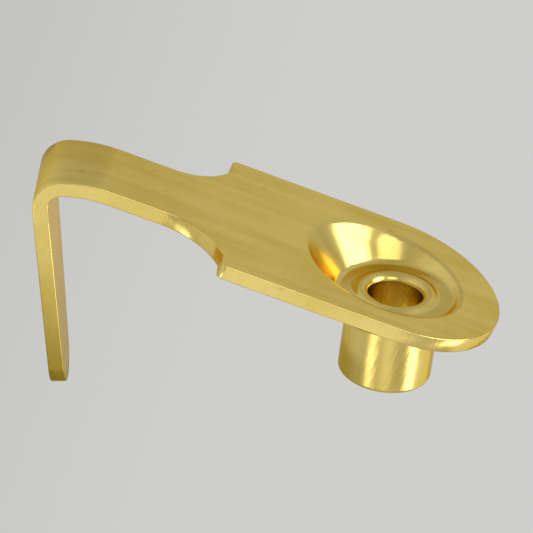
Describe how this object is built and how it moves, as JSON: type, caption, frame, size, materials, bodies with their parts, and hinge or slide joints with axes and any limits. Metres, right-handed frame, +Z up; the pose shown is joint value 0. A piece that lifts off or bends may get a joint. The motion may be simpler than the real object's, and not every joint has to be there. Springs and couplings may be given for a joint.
{
  "type": "picture hook",
  "caption": "Stamped brass plated picture hook: a round headed plate with a tilted tubular nail guide drawn from it, narrowing to a strip that folds forward into a tapered leg.",
  "frame": {"origin": "middle of the nail guide's bore, on its axis", "axes": "+Z up the plate from the folded leg to the round head, +Y into the wall, -Y out of the wall towards the hung picture, +X across the plate"},
  "size_m": [0.0088, 0.0103, 0.0197],
  "materials": {
    "brass_plate": "bright plated sheet with fine rub marks"
  },
  "bodies": {
    "root": {"picture_hook": "brass_plate"}
  },
  "joints": []
}
